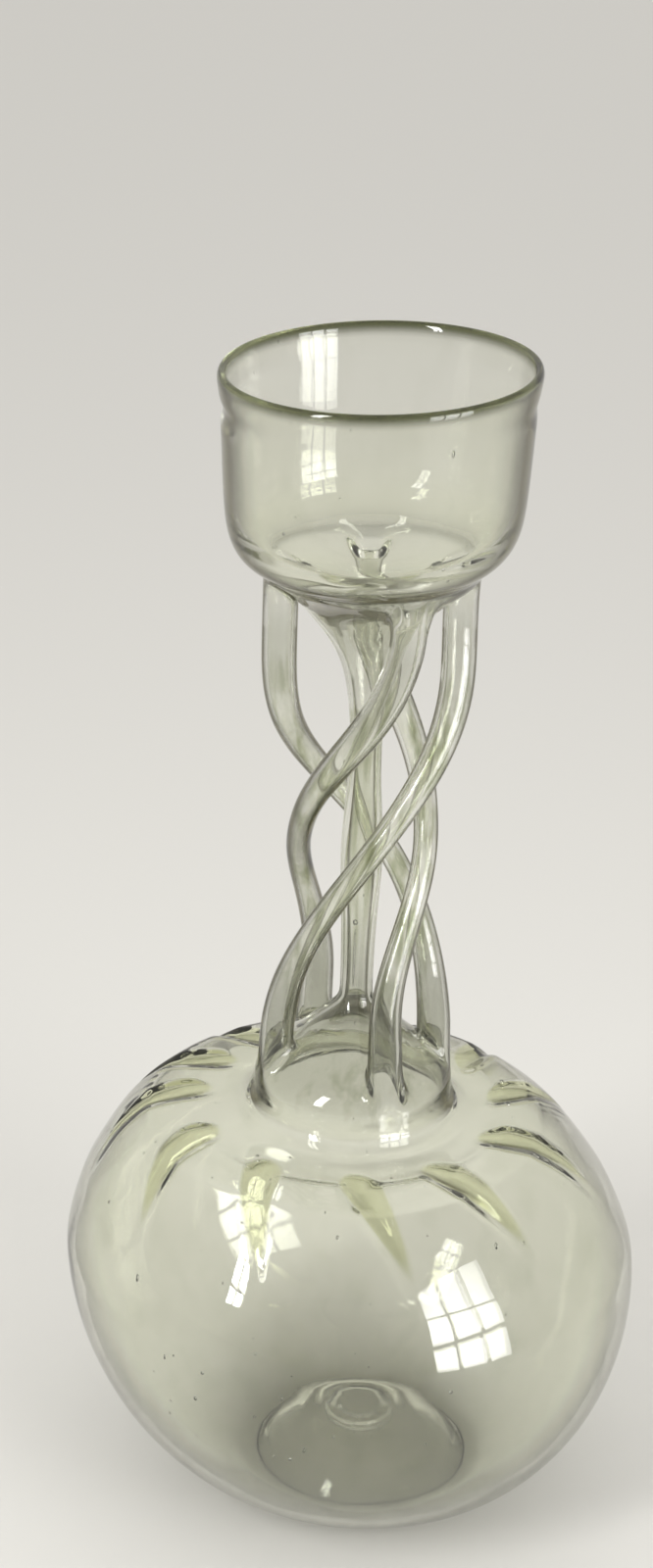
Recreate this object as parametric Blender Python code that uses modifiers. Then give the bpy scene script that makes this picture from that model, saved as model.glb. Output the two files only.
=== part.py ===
"""A hand-blown glug bottle: a flattened globe, a neck of five thin tubes and an open cup.

Four outer tubes wind half a turn round a straight centre tube. They leave a domed root on the
globe's shoulder and run up into the underside of the cup. The real bottle is one piece of glass;
here it comes apart where the glassworker joined it. Lengths are in metres, +Z is up, the front is
-Y, and the origin is the middle of the bottle on the surface that it stands on.
"""
import math

import bmesh
import bpy
from mathutils import Vector

# The globe, from the surface that it stands on
BULB_RADIUS = 0.0715
BULB_WIDEST_HEIGHT = 0.0635
BULB_HEIGHT = 0.1060
BULB_WALL = 0.0024
SHOULDER_DROP = 0.0025
SHOULDER_RADIUS = 0.0500
FOOT_RADIUS = 0.0300
FOOT_WIDTH = 0.0035
KICK_HEIGHT = 0.0120
PONTIL_RADIUS = 0.0075
PONTIL_DEPTH = 0.0007
# how far the foot and the neck stand to the side of the globe's middle
FOOT_SHIFT = 0.0050
NECK_SHIFT = -0.0009

# The flutes pressed into the shoulder
FLUTE_START_RADIUS = 0.0350
FLUTE_DEEPEST_RADIUS = 0.0410
FLUTE_END_RADIUS = 0.0630
FLUTE_DEPTH = 0.0034
FLUTE_SWIRL = math.radians(11)
FLUTE_DEGREES = (10, 37, 65, 93, 120, 148, 181, 213, 245, 280, 308, 340)
COLUMNS_PER_FLUTE = 4

# The tubes, which share one wall with the root that they stand on
NECK_WALL = 0.0016
NECK_LENGTH = 0.1230
TUBE_END_RADIUS = 0.0042
TUBE_WAIST_RADIUS = 0.0030
LOWER_RING_RADIUS = 0.0198
WAIST_RING_RADIUS = 0.0154
UPPER_RING_RADIUS = 0.0212
CENTER_RADIUS = 0.0040
CENTER_MIDDLE_RADIUS = 0.0050
# where the neck is widest and narrowest, as shares of its length from the root up
LOWER_RING_SHARE = 0.033
WAIST_LOW_SHARE = 0.382
WAIST_HIGH_SHARE = 0.488
UPPER_RING_SHARE = 0.846

# The domed root: its flare at the globe, and the heights of its feet, dome and stubs
ROOT_FLARE = 0.0009
ROOT_RISE = 0.0120
DOME_RISE = 0.0150
ROOT_STUB = 0.0120
CENTER_STUB = 0.0035

# The cup: its bead, the heights of its base and wall, and its stubs and funnel
CUP_RADIUS = 0.0357
CUP_WALL = 0.0020
RIM_BEAD = 0.0015
CUP_BASE_HEIGHT = 0.0090
CUP_DEPTH = 0.0440
CREASE_HEIGHT = 0.0055
CUP_STUB = 0.0100
FUNNEL_DROP = 0.0310
CUP_TILT = math.radians(2.4)

# Clearance between pieces that touch
JOINT_GAP = 0.0003

# Each outer tube: degrees round the neck at the cup and at the root, and the shares of the
# neck's length between which it winds
TUBES = {
    "front_tube": dict(top=-66, bottom=-240, start_share=0.967, end_share=0.122),
    "right_tube": dict(top=8, bottom=-165, start_share=0.927, end_share=0.081),
    "back_tube": dict(top=92, bottom=-68, start_share=0.894, end_share=0.138),
    "left_tube": dict(top=180, bottom=10, start_share=0.809, end_share=0.154),
}
FOOT_HALF_ANGLE = math.radians(13)
COLUMNS_PER_TUBE = 4
TUBE_POINTS = 17

# Heights that follow from the sizes above
SHOULDER_HEIGHT = BULB_HEIGHT - SHOULDER_DROP
ROOT_RADIUS = LOWER_RING_RADIUS + TUBE_END_RADIUS + ROOT_FLARE
ROOT_FEET_HEIGHT = BULB_HEIGHT + ROOT_RISE
ROOT_TUBE_JOINT = ROOT_FEET_HEIGHT + ROOT_STUB
DOME_HEIGHT = ROOT_FEET_HEIGHT + DOME_RISE
CENTER_BOTTOM_JOINT = DOME_HEIGHT + CENTER_STUB
CUP_FEET_HEIGHT = ROOT_FEET_HEIGHT + NECK_LENGTH
CUP_TUBE_JOINT = CUP_FEET_HEIGHT - CUP_STUB
CENTER_TOP_JOINT = CUP_FEET_HEIGHT - FUNNEL_DROP
CUP_CORNER_HEIGHT = CUP_FEET_HEIGHT + CUP_BASE_HEIGHT
RIM_HEIGHT = CUP_CORNER_HEIGHT + CUP_DEPTH

GLASS_COLOR = (0.80, 0.81, 0.74)


def clear_scene():
    """Remove every object and collection that the file opened with."""
    for old in list(bpy.data.objects):
        bpy.data.objects.remove(old, do_unlink=True)
    for old in list(bpy.data.collections):
        bpy.data.collections.remove(old)


def glass(name, tint):
    """Clear glass with the pale olive cast of the real bottle, a little different on each piece."""
    material = bpy.data.materials.new(name)
    material.use_nodes = True
    shader = material.node_tree.nodes["Principled BSDF"]
    shader.inputs["Base Color"].default_value = (*(part * tint for part in GLASS_COLOR), 1.0)
    shader.inputs["Roughness"].default_value = 0.04
    shader.inputs["Metallic"].default_value = 0.0
    shader.inputs["IOR"].default_value = 1.5
    shader.inputs["Transmission Weight"].default_value = 1.0
    return material


def ease(share):
    """Go from 0 to 1 with level ends."""
    share = min(max(share, 0.0), 1.0)
    return share * share * (3.0 - 2.0 * share)


def blend(first, second, share):
    """Take a share of the way from the first value to the second."""
    return first + (second - first) * share


def smoothed_share(count):
    """The share of its cage's radius that a ring of so many points keeps when it is smoothed."""
    # a smoothed point lies this share of the way to each of its neighbours
    neighbor_share = 1 / 6
    return 1.0 - 2 * neighbor_share * (1.0 - math.cos(2 * math.pi / count))


def new_object(name, mesh, collection, tint):
    """Put a finished mesh in the bottle's collection with its own glass."""
    piece = bpy.data.objects.new(name, mesh)
    piece.data.materials.append(glass(name + "_glass", tint))
    collection.objects.link(piece)
    return piece


def shell(piece, wall, levels=0, group=""):
    """Give an open surface its wall, which grows inwards from the outer skin."""
    if levels:
        smooth = piece.modifiers.new("round", "SUBSURF")
        smooth.levels = levels
        smooth.render_levels = levels
    thick = piece.modifiers.new("wall", "SOLIDIFY")
    thick.thickness = wall
    thick.offset = -1.0
    thick.use_even_offset = True
    thick.vertex_group = group
    piece.data.shade_smooth()


def turned_mesh(name, profile, steps):
    """Turn a profile, which runs down the outer side, about the Z axis."""
    mesh = bpy.data.meshes.new(name)
    edges = [(i, i + 1) for i in range(len(profile) - 1)]
    mesh.from_pydata([(x, 0.0, z) for x, z in profile], edges, [])
    blank = bpy.data.objects.new(name + "_blank", mesh)
    bpy.context.scene.collection.objects.link(blank)
    merge_share = 0.03
    screw = blank.modifiers.new("turn", "SCREW")
    screw.steps = steps
    screw.render_steps = steps
    screw.use_merge_vertices = True
    screw.merge_threshold = JOINT_GAP * merge_share
    bpy.context.view_layer.update()
    ready = blank.evaluated_get(bpy.context.evaluated_depsgraph_get())
    turned = bpy.data.meshes.new_from_object(ready)
    turned.name = name
    bpy.data.objects.remove(blank, do_unlink=True)
    return turned


def column_angle(turn):
    """Move regular columns so that the middle column of each flute falls on its chosen angle."""
    angles = [math.radians(degrees) for degrees in FLUTE_DEGREES]
    count = len(angles)
    place = turn / (2 * math.pi) * count
    index = math.floor(place) % count
    here = angles[index]
    following = angles[(index + 1) % count]
    while following <= here:
        following += 2 * math.pi
    return blend(here, following, place - math.floor(place))


def bulb_profile():
    """The globe's outer side from the neck's joint down to the middle of the kick."""
    # shares of the way from the neck to the widest radius, and from widest up to shoulder height
    shoulder_shares = ((0.09, 1.003), (0.20, 1.015), (0.36, 1.01), (0.49, 0.975), (0.56, 0.93),
                       (0.664, 0.825), (0.766, 0.675), (0.855, 0.5125), (0.915, 0.375), (0.98, 0.16))
    # shares of the way from the foot to the widest radius, and of the widest height
    side_shares = ((1.0, 1.0), (0.99, 0.866), (0.933, 0.677), (0.814, 0.48), (0.667, 0.328),
                   (0.50, 0.205), (0.31, 0.107), (0.13, 0.032))
    # shares of the foot's inner radius, and of the kick's height
    kick_shares = ((0.82, 0.34), (0.54, 0.82))
    outline = [(ROOT_RADIUS, BULB_HEIGHT)]
    for out, up in shoulder_shares:
        height = blend(BULB_WIDEST_HEIGHT, SHOULDER_HEIGHT, up)
        outline.append((blend(ROOT_RADIUS, BULB_RADIUS, out), height))
    for out, up in side_shares:
        outline.append((blend(FOOT_RADIUS, BULB_RADIUS, out), BULB_WIDEST_HEIGHT * up))
    outline.append((FOOT_RADIUS, 0.0))
    inner_foot = FOOT_RADIUS - FOOT_WIDTH
    outline.append((inner_foot, 0.0))
    for out, up in kick_shares:
        outline.append((inner_foot * out, KICK_HEIGHT * up))
    outline.append((PONTIL_RADIUS, KICK_HEIGHT))
    outline.append((PONTIL_RADIUS - PONTIL_DEPTH, KICK_HEIGHT + PONTIL_DEPTH))
    outline.append((0.0, KICK_HEIGHT + PONTIL_DEPTH))
    return outline


def flute_depth(radius, height, column):
    """How deep a flute is pressed at a radius: round and deep near the neck, fading outwards."""
    # shares of the full depth on the flute's middle column and on those that follow it
    across_shares = (1.0, 0.2, 0.0, 0.2)
    if height < BULB_WIDEST_HEIGHT:
        return 0.0
    if radius < FLUTE_DEEPEST_RADIUS:
        start, end = FLUTE_START_RADIUS, FLUTE_DEEPEST_RADIUS
    else:
        start, end = FLUTE_END_RADIUS, FLUTE_DEEPEST_RADIUS
    return FLUTE_DEPTH * ease((radius - start) / (end - start)) * across_shares[column % COLUMNS_PER_FLUTE]


def bulb_center(radius, height):
    """How far each level of the globe stands to the side, as the hand-blown one does."""
    slide = FOOT_SHIFT * (1.0 - height / BULB_WIDEST_HEIGHT)
    if height < BULB_WIDEST_HEIGHT:
        return slide
    return blend(NECK_SHIFT, slide, ease((radius - ROOT_RADIUS) / (SHOULDER_RADIUS - ROOT_RADIUS)))


def build_bulb(collection):
    """The globe: a turned shell with flutes, a ring foot, and a pontil mark under its kick."""
    columns = len(FLUTE_DEGREES) * COLUMNS_PER_FLUTE
    mesh = turned_mesh("bulb", bulb_profile(), columns)
    step = 2 * math.pi / columns
    normals = [vertex.normal.copy() for vertex in mesh.vertices]
    for vertex, normal in zip(mesh.vertices, normals):
        x, y, height = vertex.co
        radius = math.hypot(x, y)
        column = round(math.atan2(y, x) / step) % columns
        depth = flute_depth(radius, height, column)
        dented = radius - math.hypot(normal.x, normal.y) * depth
        swirl_share = 1.0
        if height > BULB_WIDEST_HEIGHT:
            swirl_share = ease((radius - FLUTE_START_RADIUS) / (FLUTE_END_RADIUS - FLUTE_START_RADIUS))
        angle = column_angle(column * step) + FLUTE_SWIRL * swirl_share
        side = bulb_center(radius, height)
        vertex.co = (dented * math.cos(angle) + side, dented * math.sin(angle), height - normal.z * depth)
    piece = new_object("bulb", mesh, collection, tint=0.92)
    shell(piece, BULB_WALL)
    return piece


def neck_share(height):
    """How far up the neck a height is, from the root's feet to the cup's."""
    return (height - ROOT_FEET_HEIGHT) / NECK_LENGTH


def winding(tube, height):
    """The angle of an outer tube at a height, in radians."""
    share = (tube["start_share"] - neck_share(height)) / (tube["start_share"] - tube["end_share"])
    return math.radians(blend(tube["top"], tube["bottom"], ease(share)))


def waist(height, low, middle, high):
    """A size that is drawn in at the neck's waist."""
    share = neck_share(height)
    if share < WAIST_LOW_SHARE:
        return blend(middle, low, ease((WAIST_LOW_SHARE - share) / (WAIST_LOW_SHARE - LOWER_RING_SHARE)))
    return blend(middle, high, ease((share - WAIST_HIGH_SHARE) / (UPPER_RING_SHARE - WAIST_HIGH_SHARE)))


def tube_center(tube, height):
    """The middle of an outer tube at a height."""
    ring = waist(height, LOWER_RING_RADIUS, WAIST_RING_RADIUS, UPPER_RING_RADIUS)
    angle = winding(tube, height)
    return Vector((NECK_SHIFT + ring * math.cos(angle), ring * math.sin(angle), height))


def tube_radius(height):
    """The outer radius of an outer tube at a height."""
    return waist(height, TUBE_END_RADIUS, TUBE_WAIST_RADIUS, TUBE_END_RADIUS)


def tube_ring(tube, height, count):
    """Points round an outer tube, the first on its outward side, for a cage that is smoothed."""
    slope_share = 0.002
    near = NECK_LENGTH * slope_share
    along = (tube_center(tube, height + near) - tube_center(tube, height - near)).normalized()
    angle = winding(tube, height)
    outward = Vector((math.cos(angle), math.sin(angle), 0.0))
    outward = (outward - along * outward.dot(along)).normalized()
    sideways = along.cross(outward).normalized()
    radius = tube_radius(height) / smoothed_share(count)
    center = tube_center(tube, height)
    ring = []
    for index in range(count):
        turn = 2 * math.pi * index / count
        ring.append(center + outward * radius * math.cos(turn) + sideways * radius * math.sin(turn))
    return ring


def fan_mesh(name, rings, tube_key, stub_heights, foot_ring, even_ring):
    """A smooth cage that is turned about the neck, with a stub for each outer tube.

    rings holds (radius, height) from the outer edge to the centre. foot_ring is the ring on the
    outer side of the stubs' feet. Columns stand at even angles outside even_ring and at the centre,
    and gather round the feet between them.
    """
    feet = sorted((math.radians(t[tube_key]) % (2 * math.pi), key) for key, t in TUBES.items())
    columns = len(feet) * COLUMNS_PER_TUBE
    step = 2 * math.pi / columns
    bm = bmesh.new()
    profile = [bm.verts.new((radius, 0.0, height)) for radius, height in rings]
    edges = [bm.edges.new(pair) for pair in zip(profile, profile[1:])]
    bmesh.ops.spin(bm, geom=profile + edges, axis=(0, 0, 1), cent=(0, 0, 0), angle=2 * math.pi,
                   steps=columns, use_merge=True, use_duplicate=False)
    grid = {}
    for vertex in bm.verts:
        radius = math.hypot(vertex.co.x, vertex.co.y)
        place = min(range(len(rings)), key=lambda i: math.dist(rings[i], (radius, vertex.co.z)))
        column = round(math.atan2(vertex.co.y, vertex.co.x) / step) % columns
        grid[place, column] = vertex
    centers = [angle for angle, key in feet]
    offset = sum(angle - i * math.pi / 2 for i, angle in enumerate(centers)) / len(centers) - step
    inner_ring = foot_ring + 2
    last_ring = len(rings) - 1
    for (place, column), vertex in grid.items():
        tube, spot = divmod(column, COLUMNS_PER_TUBE)
        here = centers[tube]
        following = centers[(tube + 1) % len(centers)]
        if following < here:
            following += 2 * math.pi
        spots = (here - FOOT_HALF_ANGLE, here, here + FOOT_HALF_ANGLE, (here + following) / 2)
        even = offset + column * step
        radius, height = rings[place]
        gathered = min(ease((place - even_ring) / (foot_ring - even_ring)),
                       ease((last_ring - place) / (last_ring - inner_ring)))
        angle = blend(even, spots[spot], gathered)
        vertex.co = (NECK_SHIFT + radius * math.cos(angle), radius * math.sin(angle), height)
    for tube, (angle, key) in enumerate(feet):
        middle = tube * COLUMNS_PER_TUBE + 1
        left, right = middle - 1, middle + 1
        hub_ring = foot_ring + 1
        order = ((foot_ring, middle), (foot_ring, right), (hub_ring, right), (inner_ring, right),
                 (inner_ring, middle), (inner_ring, left), (hub_ring, left), (foot_ring, left))
        loop = [grid[spot] for spot in order]
        hub = grid[hub_ring, middle]
        bmesh.ops.delete(bm, geom=list(hub.link_faces), context="FACES")
        if hub.is_valid:
            bmesh.ops.delete(bm, geom=[hub], context="VERTS")
        for height in stub_heights:
            sides = [bm.edges.get(pair) for pair in zip(loop, loop[1:] + loop[:1])]
            grown = bmesh.ops.extrude_edge_only(bm, edges=sides)["geom"]
            fresh = {v for v in grown if isinstance(v, bmesh.types.BMVert)}
            links = [next(e.other_vert(v) for e in v.link_edges if e.other_vert(v) in fresh) for v in loop]
            for vertex, spot in zip(links, tube_ring(TUBES[key], height, len(loop))):
                vertex.co = spot
            loop = links
    bmesh.ops.recalc_face_normals(bm, faces=bm.faces[:])
    mesh = bpy.data.meshes.new(name)
    bm.to_mesh(mesh)
    bm.free()
    return mesh


def build_root(collection):
    """The domed root: a short collar that closes into a dome, with five tubes rising from it."""
    smoothed = smoothed_share(len(TUBES) * COLUMNS_PER_TUBE)
    collar = ROOT_RADIUS / smoothed
    bottom = BULB_HEIGHT + JOINT_GAP
    center = CENTER_RADIUS / smoothed
    # shares of the way from the collar to the tubes' feet, inwards and up
    collar_in_share = 0.40
    collar_up_share = 0.45
    # share of a tube's radius that the web between two feet stands outside their middles
    web_share = 0.20
    # share of a stub's height at its first ring
    stub_share = 0.15
    # shares of the way from the tubes' feet in to the centre tube, and up to the dome's height
    dome_shares = ((0.0, 0.0), (0.35, 0.40), (0.68, 0.72), (0.97, 1.0))
    foot_outer = LOWER_RING_RADIUS + TUBE_END_RADIUS
    foot_inner = LOWER_RING_RADIUS - TUBE_END_RADIUS
    outer_height = ROOT_FEET_HEIGHT - TUBE_END_RADIUS
    inner_height = ROOT_FEET_HEIGHT + TUBE_END_RADIUS
    rings = [(collar, bottom)]
    rings.append((blend(collar, foot_outer, collar_in_share), blend(bottom, outer_height, collar_up_share)))
    rings.append((foot_outer, outer_height))
    rings.append((LOWER_RING_RADIUS + TUBE_END_RADIUS * web_share, ROOT_FEET_HEIGHT))
    for inwards, up in dome_shares:
        rings.append((blend(foot_inner, center, inwards), blend(inner_height, DOME_HEIGHT, up)))
    rings.append((center, CENTER_BOTTOM_JOINT))
    stub_heights = (blend(inner_height, ROOT_TUBE_JOINT, stub_share), ROOT_TUBE_JOINT)
    mesh = fan_mesh("neck_root", rings, "bottom", stub_heights, foot_ring=2, even_ring=0)
    piece = new_object("neck_root", mesh, collection, tint=0.96)
    shell(piece, NECK_WALL, levels=1)
    return piece


def build_cup(collection):
    """The cup: a round-bottomed open bowl, whose underside draws down into the five tubes."""
    smoothed = smoothed_share(len(TUBES) * COLUMNS_PER_TUBE)
    cup = CUP_RADIUS / smoothed
    rim = (CUP_RADIUS + RIM_BEAD) / smoothed
    center = CENTER_RADIUS / smoothed
    # shares of the bead's size: how far its edge is drawn in, and how far down it is widest
    bead_in_share = 0.5
    bead_down_share = 1.6
    # shares of the cup's radius, and of the height between its lower corner and its rim
    wall_shares = ((1.015, 0.78), (0.99, 0.36), (0.95, 0.11), (0.86, 0.0))
    # share of a tube's radius that the web between two feet stands outside their middles
    web_share = 0.10
    # share of a stub's height at its first ring
    stub_share = 0.30
    # shares of the way from the tubes' feet in to the centre tube, and down to its joint
    funnel_shares = ((0.0, 0.0), (0.42, 0.22), (0.74, 0.46), (0.94, 0.76))
    # share of the way from the feet up to the crease at which the collar between them starts
    collar_share = 0.5
    foot_outer = UPPER_RING_RADIUS + TUBE_END_RADIUS
    foot_inner = UPPER_RING_RADIUS - TUBE_END_RADIUS
    inner_height = CUP_FEET_HEIGHT - TUBE_END_RADIUS
    rings = [(rim - RIM_BEAD * bead_in_share, RIM_HEIGHT), (rim, RIM_HEIGHT - RIM_BEAD * bead_down_share)]
    for out, up in wall_shares:
        rings.append((cup * out, blend(CUP_CORNER_HEIGHT, RIM_HEIGHT, up)))
    rings.append((foot_outer, CUP_FEET_HEIGHT + CREASE_HEIGHT))
    rings.append((foot_outer, CUP_FEET_HEIGHT + CREASE_HEIGHT * collar_share))
    rings.append((UPPER_RING_RADIUS + TUBE_END_RADIUS * web_share, CUP_FEET_HEIGHT))
    for inwards, down in funnel_shares:
        rings.append((blend(foot_inner, center, inwards), blend(inner_height, CENTER_TOP_JOINT, down)))
    rings.append((center, CENTER_TOP_JOINT))
    stub_heights = (blend(inner_height, CUP_TUBE_JOINT, stub_share), CUP_TUBE_JOINT)
    mesh = fan_mesh("cup", rings, "top", stub_heights, foot_ring=7, even_ring=5)
    piece = new_object("cup", mesh, collection, tint=1.0)
    group = piece.vertex_groups.new(name="wall")
    for vertex in mesh.vertices:
        share = ease((vertex.co.z - CUP_FEET_HEIGHT) / CUP_BASE_HEIGHT)
        group.add([vertex.index], blend(NECK_WALL / CUP_WALL, 1.0, share), "REPLACE")
        vertex.co.z += (vertex.co.x - NECK_SHIFT) * math.tan(CUP_TILT) * share
    shell(piece, CUP_WALL, levels=1, group="wall")
    return piece


def hollow_tube(name, centers, radii, resolution, collection, tint):
    """A drawn tube: a curve with a round section, open at both ends, that is given a wall."""
    data = bpy.data.curves.new(name, "CURVE")
    data.dimensions = "3D"
    data.bevel_depth = TUBE_END_RADIUS
    data.bevel_resolution = resolution
    data.use_fill_caps = False
    spline = data.splines.new("POLY")
    spline.points.add(len(centers) - 1)
    for point, center, radius in zip(spline.points, centers, radii):
        point.co = (*center, 1.0)
        point.radius = radius / TUBE_END_RADIUS
    blank = bpy.data.objects.new(name + "_blank", data)
    bpy.context.scene.collection.objects.link(blank)
    bpy.context.view_layer.update()
    ready = blank.evaluated_get(bpy.context.evaluated_depsgraph_get())
    mesh = bpy.data.meshes.new_from_object(ready)
    mesh.name = name
    bpy.data.objects.remove(blank, do_unlink=True)
    piece = new_object(name, mesh, collection, tint)
    shell(piece, NECK_WALL)
    return piece


def build_tubes(collection):
    """Four outer tubes that wind round the centre tube, and the centre tube itself."""
    bottom = ROOT_TUBE_JOINT + JOINT_GAP
    top = CUP_TUBE_JOINT - JOINT_GAP
    for index, (name, tube) in enumerate(TUBES.items()):
        heights = []
        for step in range(TUBE_POINTS):
            share = 0.5 - 0.5 * math.cos(math.pi * step / (TUBE_POINTS - 1))
            heights.append(blend(bottom, top, share))
        centers = [tube_center(tube, height) for height in heights]
        radii = [tube_radius(height) for height in heights]
        hollow_tube(name, centers, radii, 3, collection, tint=0.93 + 0.01 * index)
    # share of the centre tube's length over which it swells
    swell_share = 0.7
    steps = TUBE_POINTS // 2
    low = CENTER_BOTTOM_JOINT + JOINT_GAP
    high = CENTER_TOP_JOINT - JOINT_GAP
    centers = []
    radii = []
    for step in range(steps + 1):
        share = step / steps
        centers.append(Vector((NECK_SHIFT, 0.0, blend(low, high, share))))
        from_middle = abs(2 * share - 1) / swell_share
        radii.append(blend(CENTER_MIDDLE_RADIUS, CENTER_RADIUS, ease(from_middle)))
    hollow_tube("center_tube", centers, radii, 4, collection, tint=0.95)


def main():
    clear_scene()
    collection = bpy.data.collections.new("glug_bottle")
    bpy.context.scene.collection.children.link(collection)
    build_bulb(collection)
    build_root(collection)
    build_tubes(collection)
    build_cup(collection)


main()
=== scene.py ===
"""A hand-blown glug bottle on a pale floor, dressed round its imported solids.

Lengths are in metres, +Z is up, and the front of the bottle looks towards -Y.
"""
import math
import random

import bmesh
import bpy
from mathutils import Euler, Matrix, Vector


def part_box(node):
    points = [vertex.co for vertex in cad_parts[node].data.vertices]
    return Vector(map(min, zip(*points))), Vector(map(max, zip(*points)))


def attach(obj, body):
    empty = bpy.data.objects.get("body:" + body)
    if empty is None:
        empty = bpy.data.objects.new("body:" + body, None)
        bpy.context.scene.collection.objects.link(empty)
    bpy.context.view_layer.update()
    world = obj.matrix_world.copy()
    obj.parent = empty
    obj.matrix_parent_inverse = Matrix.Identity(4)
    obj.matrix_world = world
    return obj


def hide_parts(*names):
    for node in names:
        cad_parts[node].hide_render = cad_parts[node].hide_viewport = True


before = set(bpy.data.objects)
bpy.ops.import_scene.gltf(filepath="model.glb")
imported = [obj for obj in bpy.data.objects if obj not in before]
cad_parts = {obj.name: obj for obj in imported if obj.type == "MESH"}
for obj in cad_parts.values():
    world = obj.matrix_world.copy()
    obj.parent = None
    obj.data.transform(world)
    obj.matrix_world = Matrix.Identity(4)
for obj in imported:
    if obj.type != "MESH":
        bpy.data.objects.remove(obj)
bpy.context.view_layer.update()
scene = bpy.context.scene

# The glass
# The whole bottle is one pale olive glass, which the parts below use in slightly different tints.
# It takes light away over the length that a ray runs inside it, so thick places look darker.

GLASS_IOR = 1.5
CLEAN_ROUGHNESS = 0.008
HANDLED_ROUGHNESS = 0.09
SMUDGE_SCALE = 26.0
SMUDGE_FROM = 0.48
SMUDGE_FULL = 0.75
# what is left of each colour after a ray has run this far through the glass
TINT_LENGTH = 0.010
GLASS_TINT = (0.78, 0.80, 0.64)
# what is left of each colour where the glass is seen edge on, is thick or has a cord in it; the edge-on
# tint is painted shade, and the thick tint is partly painted shade
EDGE_SHADE_TINT = (0.045, 0.039, 0.020)
GATHERED_SHADE_TINT = (0.08, 0.09, 0.03)
CORD_TINT = (0.54, 0.57, 0.43)
CORDS_PER_WAVE = 4.0
CORD_FROM = 0.46
CORD_FULL = 0.70


def ripple_group():
    """A node group for glass drawn by hand: faint waves and cords along it, and smudges on it."""
    group = bpy.data.node_groups.new("hand_ripple", "ShaderNodeTree")
    group.interface.new_socket("Scale", in_out="INPUT", socket_type="NodeSocketFloat")
    group.interface.new_socket("Stretch", in_out="INPUT", socket_type="NodeSocketFloat")
    group.interface.new_socket("Height", in_out="OUTPUT", socket_type="NodeSocketFloat")
    group.interface.new_socket("Cords", in_out="OUTPUT", socket_type="NodeSocketFloat")
    group.interface.new_socket("Roughness", in_out="OUTPUT", socket_type="NodeSocketFloat")
    start = group.nodes.new("NodeGroupInput")
    end = group.nodes.new("NodeGroupOutput")
    place = group.nodes.new("ShaderNodeTexCoord")
    stretch = group.nodes.new("ShaderNodeMapping")
    along = group.nodes.new("ShaderNodeCombineXYZ")
    along.inputs["X"].default_value = 1.0
    along.inputs["Y"].default_value = 1.0
    group.links.new(start.outputs["Stretch"], along.inputs["Z"])
    group.links.new(along.outputs["Vector"], stretch.inputs["Scale"])
    waves = group.nodes.new("ShaderNodeTexNoise")
    waves.inputs["Detail"].default_value = 1.5
    waves.inputs["Roughness"].default_value = 0.4
    group.links.new(place.outputs["Object"], stretch.inputs["Vector"])
    group.links.new(stretch.outputs["Vector"], waves.inputs["Vector"])
    group.links.new(start.outputs["Scale"], waves.inputs["Scale"])
    group.links.new(waves.outputs["Fac"], end.inputs["Height"])
    finer = group.nodes.new("ShaderNodeMath")
    finer.operation = "MULTIPLY"
    finer.inputs[1].default_value = CORDS_PER_WAVE
    group.links.new(start.outputs["Scale"], finer.inputs[0])
    cords = group.nodes.new("ShaderNodeTexNoise")
    cords.inputs["Detail"].default_value = 2.0
    group.links.new(stretch.outputs["Vector"], cords.inputs["Vector"])
    group.links.new(finer.outputs[0], cords.inputs["Scale"])
    drawn = group.nodes.new("ShaderNodeMapRange")
    drawn.interpolation_type = "SMOOTHSTEP"
    drawn.inputs["From Min"].default_value = CORD_FROM
    drawn.inputs["From Max"].default_value = CORD_FULL
    group.links.new(cords.outputs["Fac"], drawn.inputs["Value"])
    group.links.new(drawn.outputs["Result"], end.inputs["Cords"])
    smudges = group.nodes.new("ShaderNodeTexNoise")
    smudges.inputs["Scale"].default_value = SMUDGE_SCALE
    smudges.inputs["Detail"].default_value = 6.0
    smudges.inputs["Roughness"].default_value = 0.65
    handled = group.nodes.new("ShaderNodeMapRange")
    handled.inputs["From Min"].default_value = SMUDGE_FROM
    handled.inputs["From Max"].default_value = SMUDGE_FULL
    handled.inputs["To Min"].default_value = CLEAN_ROUGHNESS
    handled.inputs["To Max"].default_value = HANDLED_ROUGHNESS
    group.links.new(place.outputs["Object"], smudges.inputs["Vector"])
    group.links.new(smudges.outputs["Fac"], handled.inputs["Value"])
    group.links.new(handled.outputs["Result"], end.inputs["Roughness"])
    return group


hand_ripple = ripple_group()


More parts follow.
